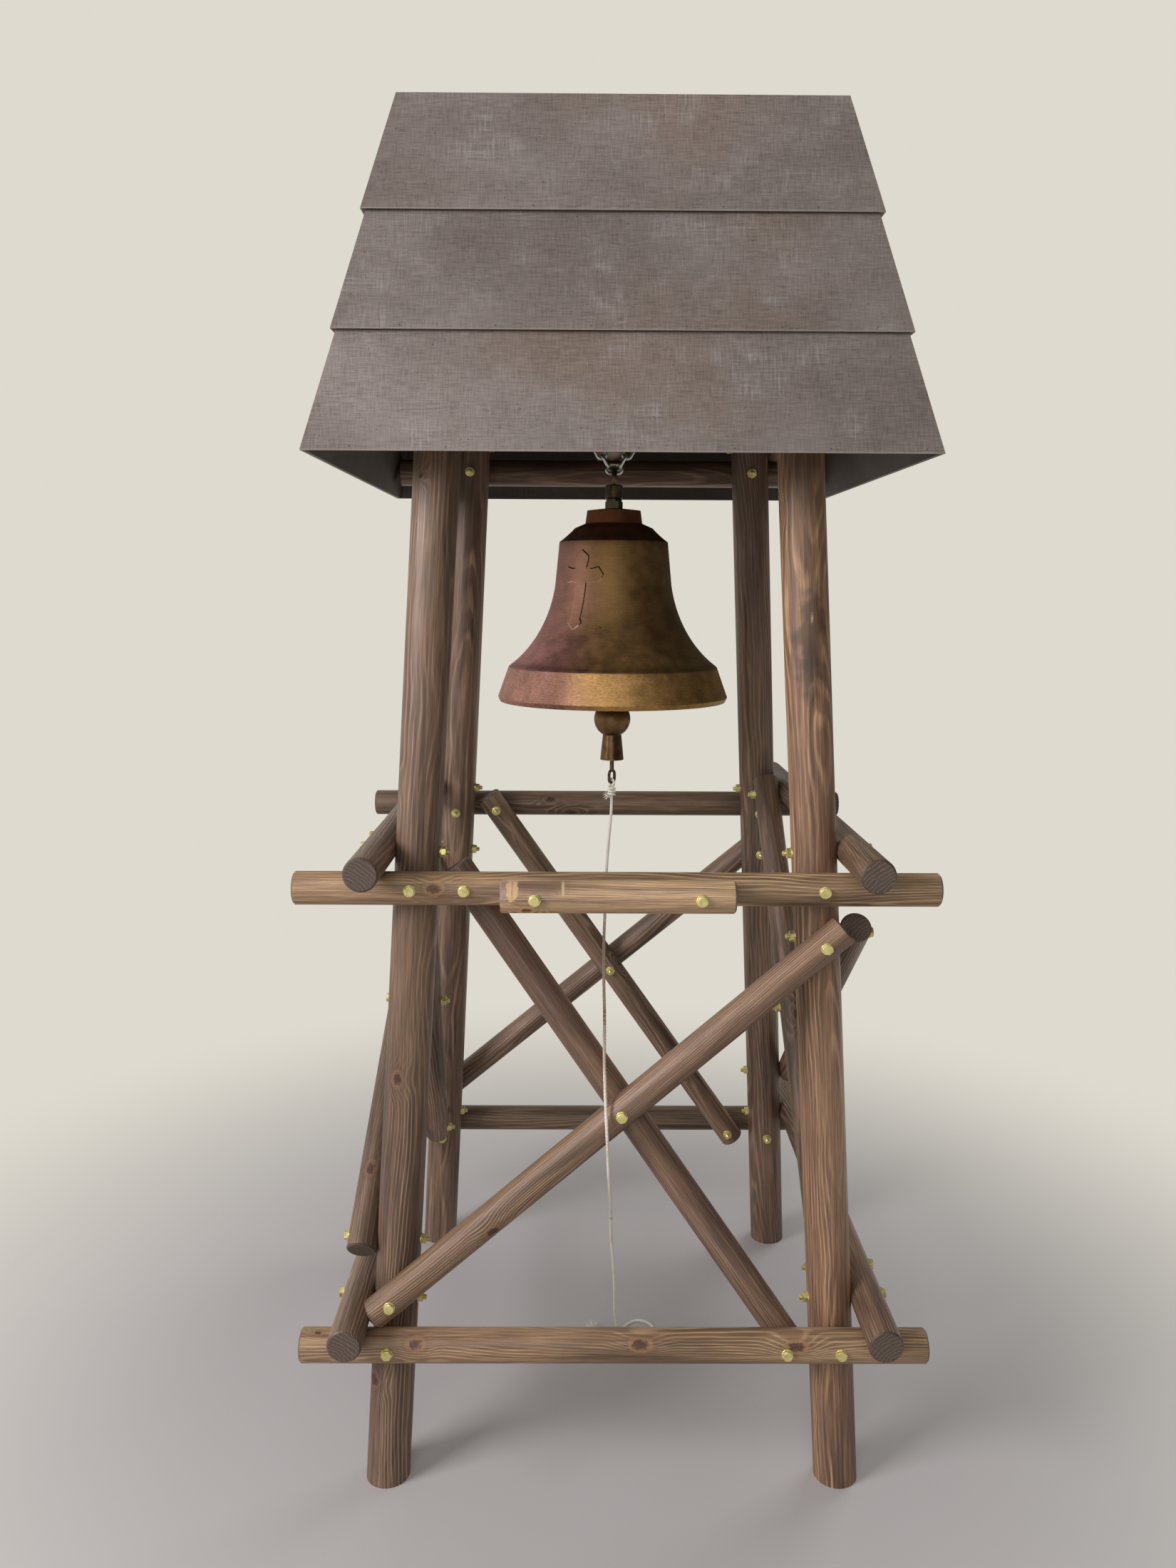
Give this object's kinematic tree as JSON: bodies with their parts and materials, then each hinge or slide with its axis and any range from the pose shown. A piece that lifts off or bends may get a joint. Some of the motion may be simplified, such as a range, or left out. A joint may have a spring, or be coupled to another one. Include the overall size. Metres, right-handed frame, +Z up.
{
  "type": "log bell tower with a hanging bell",
  "caption": "Free-standing bell tower: four leaning round-log legs, beams, cross braces, a lapped-board roof, and a bell with clapper and pull rope.",
  "frame": {"origin": "centre of the footprint of the four feet, on the floor", "axes": "+Z up, -Y out of the front where the rope hangs over the braces, +X to the right of someone facing the front"},
  "size_m": [1.118, 1.118, 2.414],
  "materials": {
    "log_wood": "satin varnish",
    "roof_board": "matt stain",
    "bell_brass": "antiqued",
    "fitting_bronze": "aged",
    "chain_zinc": "zinc plated",
    "clapper_metal": "dull",
    "rope": "matt"
  },
  "bodies": {
    "tower": {"bell": "bell_brass", "bell_nut": "fitting_bronze", "bell_rope": "rope", "clapper_bracket": "clapper_metal", "hanger_chain": "chain_zinc", "hanger_eye": "fitting_bronze", "hanger_log": "log_wood", "hip_rafters": "log_wood", "inner_brace_front": "log_wood", "inner_brace_left": "log_wood", "inner_brace_rear": "log_wood", "inner_brace_right": "log_wood", "leg_front_left": "log_wood", "leg_front_right": "log_wood", "leg_rear_left": "log_wood", "leg_rear_right": "log_wood", "lower_beam_front": "log_wood", "lower_beam_left": "log_wood", "lower_beam_rear": "log_wood", "lower_beam_right": "log_wood", "mid_beam_front": "log_wood", "mid_beam_left": "log_wood", "mid_beam_rear": "log_wood", "mid_beam_right": "log_wood", "outer_brace_front": "log_wood", "outer_brace_left": "log_wood", "outer_brace_rear": "log_wood", "outer_brace_right": "log_wood", "roof_board_lower_front": "roof_board", "roof_board_lower_left": "roof_board", "roof_board_lower_rear": "roof_board", "roof_board_lower_right": "roof_board", "roof_board_middle_front": "roof_board", "roof_board_middle_left": "roof_board", "roof_board_middle_rear": "roof_board", "roof_board_middle_right": "roof_board", "roof_board_upper_front": "roof_board", "roof_board_upper_left": "roof_board", "roof_board_upper_rear": "roof_board", "roof_board_upper_right": "roof_board", "roof_lid": "roof_board", "short_log": "log_wood", "swivel": "fitting_bronze", "top_beam_front": "log_wood", "top_beam_left": "log_wood", "top_beam_rear": "log_wood", "top_beam_right": "log_wood"},
    "clapper": {"clapper": "clapper_metal", "clapper_hook": "clapper_metal", "rope_knot": "rope"}
  },
  "joints": [
    {"name": "clapper_swing", "type": "hinge", "parent": "tower", "child": "clapper", "pos_m": [0, 0, 1.718], "axis": [0, 1, 0], "range_deg": [-29, 29]}
  ]
}
